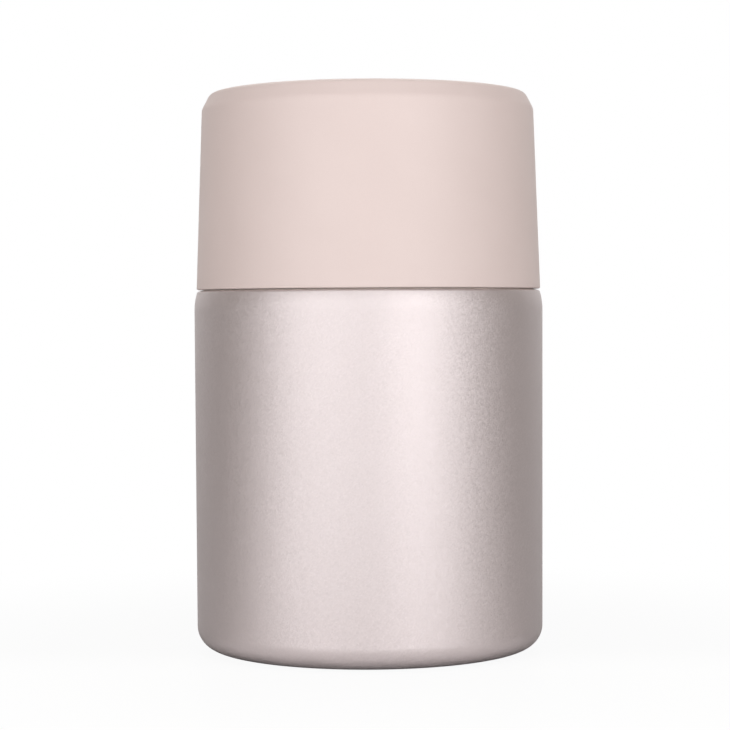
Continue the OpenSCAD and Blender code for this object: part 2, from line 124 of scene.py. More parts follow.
def grey(tree, amount):
    """The grey of that brightness."""
    return put(tree, "ShaderNodeCombineColor", {0: amount, 1: amount, 2: amount}).outputs[0]


def soft_box(name, azimuth, height, distance, size, power):
    """A lamp at that azimuth from the camera's side, turned to the middle of the jar."""
    lamp = bpy.data.lights.new(name, "AREA")
    lamp.shape = "RECTANGLE"
    lamp.size, lamp.size_y = size
    lamp.energy = power
    box = bpy.data.objects.new(name, lamp)
    scene.collection.objects.link(box)
    angle = math.radians(azimuth)
    box.location = (distance * math.sin(angle), -distance * math.cos(angle), height)
    aim = jar_middle - box.location
    box.rotation_euler = aim.to_track_quat("-Z", "Y").to_euler()


jar_middle = Vector((0, 0, 0.07))
room_colour, backdrop_colour = (0.086, 0.056, 0.032), (0.90, 0.88, 0.86)
room = bpy.data.worlds.new("room")
scene.world = room
room.use_nodes = True
tree = room.node_tree
tree.nodes.clear()
heading = put(tree, "ShaderNodeTexCoord").outputs["Generated"]
heading = put(tree, "ShaderNodeSeparateXYZ", {0: heading}).outputs
behind = between(tree, heading["Y"], 0.0, 1.0, 0.2, 0.9, soft=True)
walls = tint(tree, behind, room_colour, backdrop_colour)
ceiling = grey(tree, between(tree, heading["Z"], 0.0, 0.05, 0.2, 0.8, soft=True))
given = put(tree, "ShaderNodeMix", {0: 1.0, 6: walls, 7: ceiling}, data_type="RGBA", blend_type="ADD")
# the camera itself sees plain white behind the jar
seen = put(tree, "ShaderNodeLightPath").outputs["Is Camera Ray"]
colour = put(tree, "ShaderNodeMix", {0: seen, 6: given.outputs[2], 7: (1, 1, 1, 1)}, data_type="RGBA")
light = put(tree, "ShaderNodeBackground", {"Color": colour.outputs[2], "Strength": 1.0})
put(tree, "ShaderNodeOutputWorld", {"Surface": light.outputs[0]})

soft_box("soft_box_left", azimuth=-34, height=0.29, distance=0.85, size=(0.93, 0.58), power=3.07)
soft_box("soft_box_right", azimuth=34, height=0.29, distance=0.85, size=(0.93, 0.58), power=2.51)
soft_box("strip_light_right", azimuth=29, height=0.29, distance=0.84, size=(0.28, 0.58), power=0.74)
soft_box("soft_box_above", azimuth=0, height=1.00, distance=0.25, size=(0.70, 0.50), power=1.45)
soft_box("soft_box_behind", azimuth=180, height=0.80, distance=0.55, size=(0.70, 0.50), power=2.0)

# the floor is open under the foot, so that the underside of the jar can be looked at
opening, floor_edge, steps = 0.0390, 5.0, 160
turns = [math.tau * i / steps for i in range(steps)]
rims = [(radius * math.cos(a), radius * math.sin(a), 0) for radius in (opening, floor_edge) for a in turns]
following = [(i, (i + 1) % steps) for i in range(steps)]
floor_mesh = bpy.data.meshes.new("floor")
floor_mesh.from_pydata(rims, [], [(i, steps + i, steps + after, after) for i, after in following])
floor = bpy.data.objects.new("floor", floor_mesh)
scene.collection.objects.link(floor)
pale = bpy.data.materials.new("pale floor")
floor_mesh.materials.append(pale)
pale.use_nodes = True
tree = pale.node_tree
tree.nodes.clear()
spot = place(tree)
away = put(tree, "ShaderNodeVectorMath", {0: spot}, operation="LENGTH").outputs["Value"]
ahead = put(tree, "ShaderNodeSeparateXYZ", {0: spot}).outputs["Y"]
# painted shade on the paper: it is white before the jar, and painted grey behind it and darker round the
# foot, standing in for the jar's own shadow
before = between(tree, ahead, 0.28, 0.93, 0.0, -0.045, soft=True)
shade = between(tree, away, 0.27, 1.0, 0.040, 0.0475, soft=True)
paper_painted_shade = grey(tree, calc(tree, "MULTIPLY", before, shade))
lit = put(tree, "ShaderNodeBsdfPrincipled", {"Base Color": paper_painted_shade, "Roughness": 0.35, "IOR": 1.5})
glow = put(tree, "ShaderNodeEmission", {"Color": (1, 1, 1, 1), "Strength": 1.0})
# to the camera the floor runs into the backdrop's white, and only the jar's faint shadow shows on it
seen = put(tree, "ShaderNodeLightPath").outputs["Is Camera Ray"]
white = between(tree, away, 0.94, 1.0, 0.05, 0.20, soft=True)
share = calc(tree, "MULTIPLY", seen, white)
mixed = put(tree, "ShaderNodeMixShader", {0: share, 1: lit.outputs[0], 2: glow.outputs[0]}).outputs[0]
# from below the floor can be looked through
under = put(tree, "ShaderNodeNewGeometry").outputs["Backfacing"]
clear = put(tree, "ShaderNodeBsdfTransparent").outputs[0]
open_floor = put(tree, "ShaderNodeMixShader", {0: under, 1: mixed, 2: clear}).outputs[0]
put(tree, "ShaderNodeOutputMaterial", {"Surface": open_floor})


# ---- Outer shell ----
# Deep-drawn stainless steel, half a millimetre thick. From the foot ring to the shoulder it is
# sprayed with a champagne pink lacquer full of fine metal flakes. The neck stays bare, and the
# lid's thread is rolled into it.
def finish(name, values):
    """A Principled finish whose even values sit on the shader's own sockets."""
    material = bpy.data.materials.new(name)
    material.use_nodes = True
    shader = material.node_tree.nodes["Principled BSDF"]
    for socket, value in values.items():
        shader.inputs[socket].default_value = value
    return material, material.node_tree, shader


def put_into(tree, value, shader, socket):
    """Links a value to one of the shader's sockets."""
    tree.links.new(value, shader.inputs[socket])


def noise(tree, where, size, detail=2.0, rough=0.5):
    """Soft noise whose patches are about that many metres across."""
    return put(tree, "ShaderNodeTexNoise", {
        "Vector": where, "Scale": 1 / size, "Detail": detail, "Roughness": rough,
    }).outputs[0]


def flaked_lacquer():
    """Champagne pink lacquer: every flake has its own lean, and so its own brightness."""
    flake_size, cloud_size, flake_lean = 0.00036, 0.0014, 0.095
    dark_pink, pale_pink = (0.797, 0.734, 0.745), (0.840, 0.774, 0.786)
    material, tree, shader = finish("champagne lacquer", {
        "Metallic": 0.95, "Coat Weight": 0.25, "Coat Roughness": 0.32, "IOR": 1.5,
    })
    where = place(tree)
    flake = put(tree, "ShaderNodeTexVoronoi", {"Vector": where, "Scale": 1 / flake_size}).outputs
    chance = put(tree, "ShaderNodeTexWhiteNoise", {"Vector": flake["Position"]}).outputs["Value"]
    mixed = calc(tree, "ADD", chance, noise(tree, where, cloud_size, 3))
    amount = between(tree, mixed, 0, 1, 0.2, 1.8)
    put_into(tree, tint(tree, amount, dark_pink, pale_pink), shader, "Base Color")
    put_into(tree, between(tree, chance, 0.53, 0.59), shader, "Roughness")
    lean = put(tree, "ShaderNodeVectorMath", {0: flake["Color"], 1: (0.5, 0.5, 0.5)}, operation="SUBTRACT")
    lean = put(tree, "ShaderNodeVectorMath", {0: lean.outputs[0], "Scale": flake_lean}, operation="SCALE")
    upright = put(tree, "ShaderNodeNewGeometry").outputs["Normal"]
    leaning = put(tree, "ShaderNodeVectorMath", {0: upright, 1: lean.outputs[0]}, operation="ADD")
    leaning = put(tree, "ShaderNodeVectorMath", {0: leaning.outputs[0]}, operation="NORMALIZE")
    put_into(tree, leaning.outputs[0], shader, "Normal")
    return material


def turned_steel(name, dark, pale, low, high, line=0.00018):
    """Steel with the fine lines that a wheel or a cloth leaves round a turned piece. Its roughness
    stays between low and high."""
    material, tree, shader = finish(name, {"Metallic": 1.0})
    parts = put(tree, "ShaderNodeSeparateXYZ", {0: place(tree)}).outputs
    flat = put(tree, "ShaderNodeCombineXYZ", {0: parts[0], 1: parts[1]})
    radius = put(tree, "ShaderNodeVectorMath", {0: flat.outputs[0]}, operation="LENGTH").outputs["Value"]
    # the lines climb by a hair and change slowly on their way round the piece
    along = calc(tree, "ADD", parts[2], calc(tree, "MULTIPLY", parts[0], 0.004))
    slow = calc(tree, "MULTIPLY", parts[1], 0.01)
    rings = put(tree, "ShaderNodeCombineXYZ", {0: radius, 1: along, 2: slow}).outputs[0]
    lines = noise(tree, rings, line, 3, 0.6)
    smear = noise(tree, place(tree), 0.009, 2)
    put_into(tree, tint(tree, lines, dark, pale), shader, "Base Color")
    put_into(tree, between(tree, calc(tree, "ADD", lines, smear), low, high, 0.5, 1.5), shader, "Roughness")
    bump = put(tree, "ShaderNodeBump", {"Strength": 0.35, "Distance": 0.00004, "Height": lines})
    put_into(tree, bump.outputs[0], shader, "Normal")
    return material


def bend(x, z, radius, start, end, steps=10):
    """Points of an outline's bend about (x, z), in millimetres, from one angle to another."""
    turns = [math.radians(start + (end - start) * i / steps) for i in range(steps + 1)]
    return [(x + radius * math.cos(a), z + radius * math.sin(a)) for a in turns]


def new_tree(name, **sockets):
    """An empty Geometry Nodes tree with named inputs, given as their socket kinds."""
    tree = bpy.data.node_groups.new(name, "GeometryNodeTree")
    tree.interface.new_socket("Geometry", in_out="INPUT", socket_type="NodeSocketGeometry")
    tree.interface.new_socket("Geometry", in_out="OUTPUT", socket_type="NodeSocketGeometry")
    for socket, kind in sockets.items():
        tree.interface.new_socket(socket.replace("_", " "), in_out="INPUT", socket_type="NodeSocket" + kind)
    return tree, put(tree, "NodeGroupInput").outputs


def close_tree(tree, geometry, material, bare=None, bare_material=None):
    """Ends a tree with real geometry in its finish. Faces marked as bare get the second finish."""
    real = put(tree, "GeometryNodeRealizeInstances", {0: geometry}).outputs[0]
    real = put(tree, "GeometryNodeSetMaterial", {0: real, "Material": material}).outputs[0]
    if bare is not None:
        worn = {0: real, "Selection": bare, "Material": bare_material}
        real = put(tree, "GeometryNodeSetMaterial", worn).outputs[0]
    put(tree, "NodeGroupOutput", {0: real})
    return tree


def turning_tree():
    """Sweeps an outline, drawn in the XZ plane, once round the axis. Points marked as bare get the
    second finish."""
    tree, given = new_tree("turned outline", Steps_round="Int", Finish="Material", Bare_finish="Material")
    hub, touching = 0.001, 0.000001
    spot = put(tree, "GeometryNodeInputPosition").outputs[0]
    spot = put(tree, "ShaderNodeSeparateXYZ", {0: spot}).outputs
    out = calc(tree, "SUBTRACT", spot[0], hub)
    down = calc(tree, "MULTIPLY", spot[2], -1.0)
    laid = put(tree, "ShaderNodeCombineXYZ", {0: out, 1: down}).outputs[0]
    outline = put(tree, "GeometryNodeSetPosition", {0: given["Geometry"], "Position": laid}).outputs[0]
    outline = put(tree, "GeometryNodeMeshToCurve", {0: outline}).outputs[0]
    once_round = {"Resolution": given["Steps round"], "Radius": hub}
    path = put(tree, "GeometryNodeCurvePrimitiveCircle", once_round).outputs[0]
    path = put(tree, "GeometryNodeSetCurveNormal", {0: path}, mode="Z_UP").outputs[0]
    skin = put(tree, "GeometryNodeCurveToMesh", {"Curve": path, "Profile Curve": outline}).outputs[0]
    skin = put(tree, "GeometryNodeMergeByDistance", {0: skin, "Distance": touching}).outputs[0]
    skin = put(tree, "GeometryNodeSetShadeSmooth", {0: skin}).outputs[0]
    mark = put(tree, "GeometryNodeInputNamedAttribute", {"Name": "bare"}, data_type="FLOAT").outputs[0]
    bare = put(tree, "FunctionNodeCompare", {0: mark, 1: 0.75}, data_type="FLOAT", operation="GREATER_THAN")
    return close_tree(tree, skin, given["Finish"], bare.outputs[0], given["Bare finish"])


def ridge_tree():
    """Adds a right-handed thread ridge that follows a helix on a round wall and fades out at both
    ends. A ridge with a negative height stands inwards."""
    tree, given = new_tree(
        "thread ridge", Wall_radius="Float", Start_height="Float", Turns="Float", Lead="Float",
        Ridge_height="Float", Root_width="Float", Crest_width="Float", Edge_radius="Float",
        Sink="Float", Finish="Material")
    reckon = partial(calc, tree)
    line = put(tree, "GeometryNodeCurvePrimitiveLine").outputs[0]
    line = put(tree, "GeometryNodeResampleCurve", {0: line, "Count": 181}).outputs[0]
    along = put(tree, "GeometryNodeSplineParameter").outputs["Factor"]
    turned = reckon("MULTIPLY", along, given["Turns"])
    angle = reckon("MULTIPLY", turned, math.tau)
    spot = put(tree, "ShaderNodeCombineXYZ", {
        0: reckon("MULTIPLY", given["Wall radius"], reckon("COSINE", angle)),
        1: reckon("MULTIPLY", given["Wall radius"], reckon("SINE", angle)),
        2: reckon("ADD", given["Start height"], reckon("MULTIPLY", turned, given["Lead"])),
    }).outputs[0]
    helix = put(tree, "GeometryNodeSetPosition", {0: line, "Position": spot}).outputs[0]
    helix = put(tree, "GeometryNodeSetCurveNormal", {0: helix}, mode="Z_UP").outputs[0]
    tall = reckon("ADD", reckon("ABSOLUTE", given["Ridge height"]), given["Sink"])
    section = put(tree, "GeometryNodeCurvePrimitiveQuadrilateral", {
        "Bottom Width": given["Root width"], "Top Width": given["Crest width"],
        "Height": tall, "Offset": 0.0,
    }, mode="TRAPEZOID").outputs[0]
    section = put(tree, "GeometryNodeFilletCurve", {
        0: section, "Count": 4, "Radius": given["Edge radius"], "Limit Radius": True,
    }, mode="POLY").outputs[0]
    side = reckon("SIGN", given["Ridge height"])
    shift = reckon("MULTIPLY", side, reckon("SUBTRACT", reckon("MULTIPLY", tall, 0.5), given["Sink"]))
    swing = reckon("MULTIPLY", side, -math.pi / 2)
    section = put(tree, "GeometryNodeTransform", {
        0: section,
        "Translation": put(tree, "ShaderNodeCombineXYZ", {0: shift}).outputs[0],
        "Rotation": put(tree, "ShaderNodeCombineXYZ", {2: swing}).outputs[0],
    }).outputs[0]
    to_end = reckon("MINIMUM", along, reckon("SUBTRACT", 1.0, along))
    size = between(tree, to_end, 0.02, 1.0, 0.0, 0.085, soft=True)
    ridge = put(tree, "GeometryNodeCurveToMesh", {
        "Curve": helix, "Profile Curve": section, "Scale": size, "Fill Caps": True,
    }).outputs[0]
    ridge = put(tree, "GeometryNodeSetShadeSmooth", {0: ridge}).outputs[0]
    ridge = put(tree, "GeometryNodeSetMaterial", {0: ridge, "Material": given["Finish"]}).outputs[0]
    both = put(tree, "GeometryNodeJoinGeometry", {0: ridge})
    tree.links.new(given["Geometry"], both.inputs[0])
    real = put(tree, "GeometryNodeRealizeInstances", {0: both.outputs[0]}).outputs[0]
    put(tree, "NodeGroupOutput", {0: real})
    return tree


def apply_tree(piece, tree, values):
    """Gives the piece a Geometry Nodes tree with these input values."""
    modifier = piece.modifiers.new(tree.name, "NODES")
    modifier.node_group = tree
    for item in tree.interface.items_tree:
        if item.in_out == "INPUT" and item.name in values:
            modifier[item.identifier] = values[item.name]


def settle(piece):
    """Turns the piece with its modifiers into a plain mesh."""
    graph = bpy.context.evaluated_depsgraph_get()
    mesh = bpy.data.meshes.new_from_object(piece.evaluated_get(graph), depsgraph=graph)
    piece.modifiers.clear()
    piece.data = mesh
    return mesh


TURNED, RIDGE = turning_tree(), ridge_tree()


def turn(name, outline, material, closed=True, steps=192, bare_from=None, bare_material=None,
         worked=(), sharp=35):
    """A turned piece from its outline in millimetres. closed joins the outline's ends, for a ring.
    Points from number bare_from on get the second finish. worked lists what is cut into or laid
    on the turned shape, and edges of more than sharp degrees stay crisp."""
    mesh = bpy.data.meshes.new(name)
    count = len(outline)
    edges = [(i, i + 1) for i in range(count - 1)] + ([(count - 1, 0)] if closed else [])
    mesh.from_pydata([(x / 1000, 0, z / 1000) for x, z in outline], edges, [])
    if bare_from is not None:
        marks = mesh.attributes.new("bare", "FLOAT", "POINT")
        marks.data.foreach_set("value", [float(i >= bare_from) for i in range(count)])
    piece = bpy.data.objects.new(name, mesh)
    scene.collection.objects.link(piece)
    finishes = {"Finish": material, "Bare finish": bare_material or material}
    apply_tree(piece, TURNED, {"Steps round": steps, **finishes})
    for tree, values in worked:
        apply_tree(piece, tree, values)
    mesh = settle(piece)
    if "bare" in mesh.attributes:
        mesh.attributes.remove(mesh.attributes["bare"])
    work = bmesh.new()
    work.from_mesh(mesh)
    bmesh.ops.recalc_face_normals(work, faces=work.faces)
    work.to_mesh(mesh)
    work.free()
    mesh.set_sharp_from_angle(angle=math.radians(sharp))
    flats = piece.modifiers.new("flats stay flat", "WEIGHTED_NORMAL")
    flats.keep_sharp = True
    settle(piece)
    return piece


def thread(wall, start, height, material, edge=0.25):
    """A thread on a wall of that radius, climbing from the height start, in millimetres. One with
    a negative height stands inwards."""
    sizes = {"Wall radius": wall, "Start height": start, "Lead": 6.0, "Ridge height": height,
             "Root width": 2.66, "Crest width": 1.2, "Edge radius": edge, "Sink": 0.24}
    values = {name: value / 1000 for name, value in sizes.items()}
    return RIDGE, {**values, "Turns": 1.25, "Finish": material}


def fit(piece, body, slot, *replaced):
    """The piece takes the place of its solid and moves with that body."""
    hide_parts(*replaced)
    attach(piece, body)


# every outline is in millimetres; the side widens by a hair from the foot to the shoulder
body_radius = round(1000 * cad_box[1][0], 2)
shell_steel = 0.5
recess_radius, recess_top = 36.05, 4.0
foot_radius, foot_bend, foot_inner_bend = 44.75, 5.9, 1.2
side_top, side_bend = 87.2, 17.0
shoulder_top, shoulder_bend = 92.2, 0.7
neck_radius, neck_top, neck_bend = 38.0, 113.8, 0.6
lacquer_top = 94.6
thread_height = 1.1


def shell_line(depth):
    """The shell's outline at a depth under its outer face, from the recess to the neck's top."""
    side_middle = body_radius - side_bend
    reach, rise = side_bend - shoulder_bend, shoulder_top - shoulder_bend - side_top
    leaning = math.asin(rise / reach)
    return [
        (recess_radius + depth, recess_top),
        *bend(recess_radius + foot_inner_bend, foot_inner_bend, foot_inner_bend - depth, 180, 270),
        *bend(foot_radius - foot_bend, foot_bend, foot_bend - depth, 270, 360, 16),
        *bend(side_middle, side_top, side_bend - depth, 0, math.degrees(leaning)),
        *bend(side_middle + reach * math.cos(leaning), side_top + rise, shoulder_bend - depth,
              math.degrees(leaning), 90),
        *bend(neck_radius + neck_bend, shoulder_top + neck_bend, neck_bend + depth, 270, 180),
        (neck_radius - depth, lacquer_top), (neck_radius - depth, neck_top),
    ]


lacquer = flaked_lacquer()
neck_steel = turned_steel("bare steel", (0.60, 0.59, 0.58), (0.78, 0.77, 0.76), 0.22, 0.36)
outside = shell_line(0)
outer_shell = turn(
    "outer_shell_skin", outside + shell_line(shell_steel)[::-1], lacquer, steps=256,
    bare_from=len(outside) - 2, bare_material=neck_steel,
    worked=[thread(neck_radius, start=99.0, height=thread_height, material=neck_steel, edge=0.5)])
fit(outer_shell, "jar", "body_paint", "outer_shell")


# ---- Inner liner ----
# Thin stainless steel that holds the food, drawn and electropolished. It narrows into the mouth,
# where the stopper's thread is rolled in, and its lip folds out over the neck and is welded to it.
liner_steel = turned_steel("polished steel", (0.62, 0.61, 0.60), (0.80, 0.79, 0.78), 0.16, 0.28, 0.0003)
liner_thickness = 0.4
bowl_radius, bowl_floor, bowl_bend = 39.65, 9.9, 8.0
mouth_radius, mouth_bottom = 35.7, 93.7
lip_top, lip_bend, lip_edge = 114.2, 1.2, 0.3
throat_angle = 50


def liner_line(depth):
    """The liner's outline at a depth behind its inner face, from the floor's centre to the lip."""
    angle = math.radians(throat_angle)
    throat = (bowl_radius - mouth_radius) / 2 / (1 - math.cos(angle))
    bowl_top = mouth_bottom - 2 * throat * math.sin(angle)
    return [
        (0.0, bowl_floor - depth),
        *bend(bowl_radius - bowl_bend, bowl_floor + bowl_bend, bowl_bend + depth, 270, 360, 14),
        *bend(bowl_radius - throat, bowl_top, throat + depth, 0, throat_angle),
        *bend(mouth_radius + throat, mouth_bottom, throat - depth, 180 + throat_angle, 180),
        *bend(mouth_radius + lip_bend, lip_top - lip_bend, lip_bend - depth, 180, 90),
    ]


inner_liner = turn(
    "inner_liner_bowl",
    [*liner_line(0), *bend(neck_radius - lip_edge, lip_top - lip_edge, lip_edge, 90, 0, 5),
     (neck_radius, neck_top), *liner_line(liner_thickness)[::-1]],
    liner_steel, closed=False, steps=256,
    worked=[thread(mouth_radius, start=97.982, height=-thread_height, material=liner_steel, edge=0.5)])
fit(inner_liner, "jar", "bare_steel", "inner_liner")


# ---- Base ----
# A thin steel disc with two pressed rings is glued into the recess under the jar. Behind it a
# welded plate closes the vacuum, its evacuation hole stopped with a bead of sealing glass.
disc_steel = turned_steel("brushed steel", (0.52, 0.51, 0.50), (0.74, 0.73, 0.72), 0.28, 0.44, 0.00025)
disc_radius, disc_under, disc_thickness, disc_rim = 35.9, 0.8, 0.5, 1.6
disc_inner, disc_top = disc_radius - disc_thickness, disc_under + disc_thickness


def pressed_ring(outer):
    """The dip that the press leaves in the disc's under face, seen in the outline."""
    dip = [(-1.0, 0.0), (-0.8, 0.05), (-0.66, 0.2), (-0.5, 0.25), (-0.34, 0.2), (-0.2, 0.05), (0.0, 0.0)]
    return [(outer + across, disc_under + deep) for across, deep in dip]


base_cap = turn(
    "base_disc",
    [(0.0, disc_under), *pressed_ring(19), *pressed_ring(30),
     *bend(disc_inner, disc_top, disc_thickness, 270, 360, 6),
     (disc_radius, disc_rim), (disc_inner, disc_rim), (disc_inner, disc_top), (0.0, disc_top)],
    disc_steel, closed=False)
fit(base_cap, "jar", "bare_steel", "base_cap")


def wear(node, material):
    """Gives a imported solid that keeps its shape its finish."""
    mesh = nodes[node].data
    mesh.materials.clear()
    mesh.materials.append(material)


wear("base_plate", disc_steel)
wear("getter_bracket", disc_steel)

glass, tree, shader = finish("sealing glass", {"IOR": 1.55, "Specular IOR Level": 0.6})
bubbles = noise(tree, place(tree), 0.0006, 3)
put_into(tree, tint(tree, bubbles, (0.16, 0.17, 0.19), (0.30, 0.31, 0.33)), shader, "Base Color")
put_into(tree, between(tree, bubbles, 0.12, 0.3), shader, "Roughness")
wear("vacuum_plug", glass)

getter, tree, shader = finish("getter metal", {"Metallic": 0.6})
grains = noise(tree, place(tree), 0.00025, 4, 0.7)
put_into(tree, tint(tree, grains, (0.07, 0.07, 0.07), (0.22, 0.21, 0.21)), shader, "Base Color")
put_into(tree, between(tree, grains, 0.6, 0.9), shader, "Roughness")
rough = put(tree, "ShaderNodeBump", {"Strength": 0.6, "Distance": 0.0001, "Height": grains})
put_into(tree, rough.outputs[0], shader, "Normal")
wear("getter_pellet", getter)


# ---- Reflecting foil ----
# Copper foil wrapped round the liner and laid under its floor, inside the vacuum. It was creased
# a little as it was put on.
foil, tree, shader = finish("copper foil", {"Metallic": 1.0})
crease_size, patch_size = 0.006, 0.02
where = place(tree)
spread = {"Vector": where, "Scale": 1 / crease_size}
creases = put(tree, "ShaderNodeTexVoronoi", spread, feature="DISTANCE_TO_EDGE")
patches = noise(tree, where, patch_size, 3)
put_into(tree, tint(tree, patches, (0.70, 0.36, 0.24), (0.90, 0.52, 0.38)), shader, "Base Color")
put_into(tree, between(tree, patches, 0.18, 0.4), shader, "Roughness")
crumple = put(tree, "ShaderNodeBump", {"Strength": 0.5, "Distance": 0.0003, "Height": creases.outputs[0]})
put_into(tree, crumple.outputs[0], shader, "Normal")
wear("reflector_foil", foil)
wear("reflector_disc", foil)


# ---- Stopper ----
# Two mouldings in warm grey plastic, welded together round foam. The lower one screws into the
# mouth, and the upper one has a round grip with finger flutes and a well for the vent's button.
def moulded(name, dark, pale, rough, grain=0.00035, depth=0.00003, patch=0.014, extra=None):
    """Plastic or rubber as the mould leaves it: a spark-worn grain and slightly uneven colour."""
    material, tree, shader = finish(name, {"IOR": 1.5, **(extra or {})})
    where = place(tree)
    cloud, fine = noise(tree, where, patch, 3), noise(tree, where, grain, 3, 0.6)
    amount = between(tree, calc(tree, "ADD", cloud, fine), 0, 1, 0.6, 1.4)
    put_into(tree, tint(tree, amount, dark, pale), shader, "Base Color")
    put_into(tree, between(tree, fine, rough - 0.06, rough + 0.06, 0.25, 0.75), shader, "Roughness")
    bump = put(tree, "ShaderNodeBump", {"Strength": 0.4, "Distance": depth, "Height": fine})
    put_into(tree, bump.outputs[0], shader, "Normal")
    return material


def flute_tree():
    """Presses evenly spaced finger flutes into a round grip that stands on a flange."""
    tree, given = new_tree(
        "finger flutes", Flutes="Int", Flute_radius="Float", Flute_depth="Float", Grip_radius="Float",
        Grip_wall="Float", Foot_height="Float", Run_out="Float", Softness="Float", Finish="Material")
    reckon = partial(calc, tree)
    spot = put(tree, "GeometryNodeInputPosition").outputs[0]
    spot = put(tree, "ShaderNodeSeparateXYZ", {0: spot}).outputs
    squares = [reckon("MULTIPLY", spot[0], spot[0]), reckon("MULTIPLY", spot[1], spot[1])]
    radius = reckon("SQRT", reckon("ADD", *squares))
    # the angle from the middle of the nearest flute
    pitch = reckon("DIVIDE", math.tau, given["Flutes"])
    half = reckon("MULTIPLY", pitch, 0.5)
    angle = reckon("ARCTAN2", spot[1], spot[0])
    angle = reckon("WRAP", angle, half, reckon("MULTIPLY", half, -1.0))
    # how far out the flute's round wall lies there
    centre = reckon("ADD", given["Grip radius"], given["Flute radius"])
    centre = reckon("SUBTRACT", centre, given["Flute depth"])
    aside = reckon("MULTIPLY", centre, reckon("SINE", angle))
    inside = reckon("SUBTRACT", reckon("POWER", given["Flute radius"], 2.0), reckon("POWER", aside, 2.0))
    half_chord = reckon("SQRT", reckon("MAXIMUM", inside, 0.0))
    wall = reckon("SUBTRACT", reckon("MULTIPLY", centre, reckon("COSINE", angle)), half_chord)
    pressed = reckon("SMOOTH_MIN", radius, wall, given["Softness"])
    # the flutes run out towards the flange
    above = reckon("SUBTRACT", spot[2], given["Foot height"])
    share = between(tree, reckon("DIVIDE", above, given["Run out"]), 0.0, 1.0, soft=True)
    moved = put(tree, "ShaderNodeMix", {0: share, 2: radius, 3: pressed}).outputs[0]
    scale = reckon("DIVIDE", moved, radius)
    new_spot = put(tree, "ShaderNodeCombineXYZ", {
        0: reckon("MULTIPLY", spot[0], scale), 1: reckon("MULTIPLY", spot[1], scale), 2: spot[2],
    }).outputs[0]
    skin = reckon("SUBTRACT", given["Grip radius"], given["Grip wall"])
    over = partial(put, tree, "FunctionNodeCompare", data_type="FLOAT", operation="GREATER_THAN")
    on_grip, up = over({0: radius, 1: skin}).outputs[0], over({0: above, 1: 0.0}).outputs[0]
    chosen = put(tree, "FunctionNodeBooleanMath", {0: on_grip, 1: up}, operation="AND").outputs[0]
    change = {0: given["Geometry"], "Selection": chosen, "Position": new_spot}
    done = put(tree, "GeometryNodeSetPosition", change).outputs[0]
    return close_tree(tree, done, given["Finish"])


stopper_wall, weld_gap, soft_edge = 1.8, 0.02, 0.3
plug_radius, plug_under = 34.2, 89.2
flange_radius, flange_under, flange_top = 37.8, 116.4, 118.2
chimney_bore, chimney_top = 3.03, 115.2
plug_inner, plug_floor = plug_radius - stopper_wall, plug_under + stopper_wall
chimney_radius = chimney_bore + stopper_wall

stopper_grey = moulded("stopper plastic", (0.43, 0.40, 0.39), (0.49, 0.46, 0.45), 0.42)
stopper_cup = turn(
    "stopper_cup_moulding",
    [(chimney_bore, plug_under), *bend(plug_inner, plug_floor, stopper_wall, 270, 360),
     (plug_radius, flange_under),
     *bend(flange_radius - soft_edge, flange_under + soft_edge, soft_edge, 270, 360, 4),
     (flange_radius, flange_top - weld_gap), (plug_inner, flange_top - weld_gap),
     *bend(plug_inner - soft_edge, plug_floor + soft_edge, soft_edge, 360, 270, 3),
     (chimney_radius, plug_floor), (chimney_radius, chimney_top), (chimney_bore, chimney_top)],
    stopper_grey,
    worked=[thread(plug_radius, start=96.1, height=thread_height, material=stopper_grey)])
fit(stopper_cup, "stopper", "stopper_plastic", "stopper_cup")

skirt_radius, skirt_under = 32.35, 115.2
cover_top, cover_edge = 120.2, 0.9
grip_radius, grip_top = 21.0, 130.2
well_radius, well_floor, well_edge, stem_hole = 7.3, 123.0, 0.45, 2.3
grip_foot = cover_top + cover_edge
grip_rows = [0.25, 0.5, 0.8, 1.1, 1.4, 1.8, 2.4, 4.0, 6.0, 7.6]
stopper_cover = turn(
    "stopper_cover_moulding",
    [(stem_hole, well_floor - stopper_wall), (well_radius + stopper_wall, well_floor - stopper_wall),
     (well_radius + stopper_wall, grip_top - stopper_wall),
     (grip_radius - stopper_wall, grip_top - stopper_wall), (grip_radius - stopper_wall, flange_top),
     (skirt_radius - stopper_wall, flange_top), (skirt_radius - stopper_wall, skirt_under),
     (skirt_radius, skirt_under), (skirt_radius, flange_top),
     *bend(flange_radius - soft_edge, flange_top + soft_edge, soft_edge, 270, 360, 4),
     *bend(flange_radius - cover_edge, cover_top - cover_edge, cover_edge, 0, 90),
     *bend(grip_radius + cover_edge, grip_foot, cover_edge, 270, 180),
     *[(grip_radius, grip_foot + row) for row in grip_rows],
     *bend(grip_radius - cover_edge, grip_top - cover_edge, cover_edge, 0, 90),
     *bend(well_radius + well_edge, grip_top - well_edge, well_edge, 90, 180, 8),
     (well_radius, well_floor), (stem_hole, well_floor)],
    stopper_grey, steps=384,
    worked=[(flute_tree(), {
        "Flutes": 16, "Flute radius": 0.0024, "Flute depth": 0.0008, "Grip radius": grip_radius / 1000,
        "Grip wall": 0.0012, "Foot height": grip_foot / 1000, "Run out": 0.0014, "Softness": 0.0002,
        "Finish": stopper_grey,
    })])
fit(stopper_cover, "stopper", "stopper_plastic", "stopper_cover")

foam = moulded("insulating foam", (0.78, 0.76, 0.68), (0.92, 0.90, 0.83), 0.9, grain=0.0012, depth=0.0003)
wear("stopper_insulation", foam)


